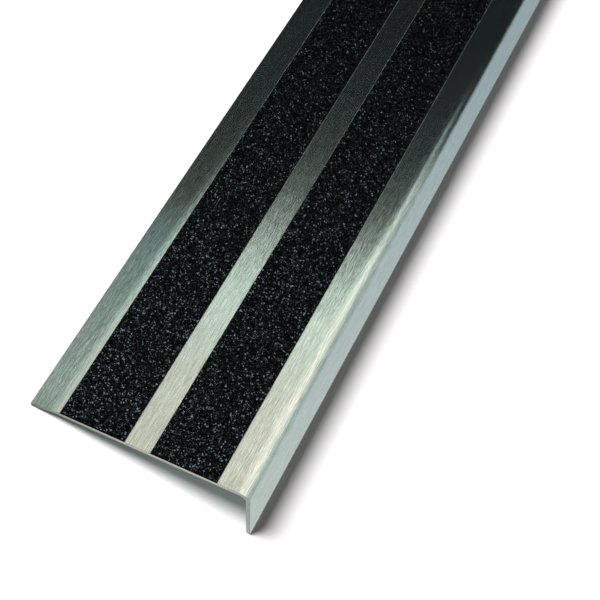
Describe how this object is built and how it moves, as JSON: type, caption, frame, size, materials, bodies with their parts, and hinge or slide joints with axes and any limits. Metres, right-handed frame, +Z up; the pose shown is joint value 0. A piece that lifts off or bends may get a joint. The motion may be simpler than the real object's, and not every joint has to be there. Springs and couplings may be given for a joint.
{
  "type": "anti-slip stair nosing",
  "caption": "Folded metal stair nosing with a flat tread, a downturned lip and full-length black anti-slip grit strips, for covering the edge of a step.",
  "frame": {"origin": "centre of the profile's bounding box at floor level, as it rests on its back edge and its lip", "axes": "+X across the profile towards the lip, +Y along its length, +Z up"},
  "size_m": [0.0868, 0.6, 0.0259],
  "materials": {
    "steel": "satin, brushed along its length",
    "grit": "coarse black mineral grit bound in glossy resin"
  },
  "bodies": {
    "root": {"nosing_profile": "steel", "grit_strip_back": "grit", "grit_strip_front": "grit"}
  },
  "joints": []
}
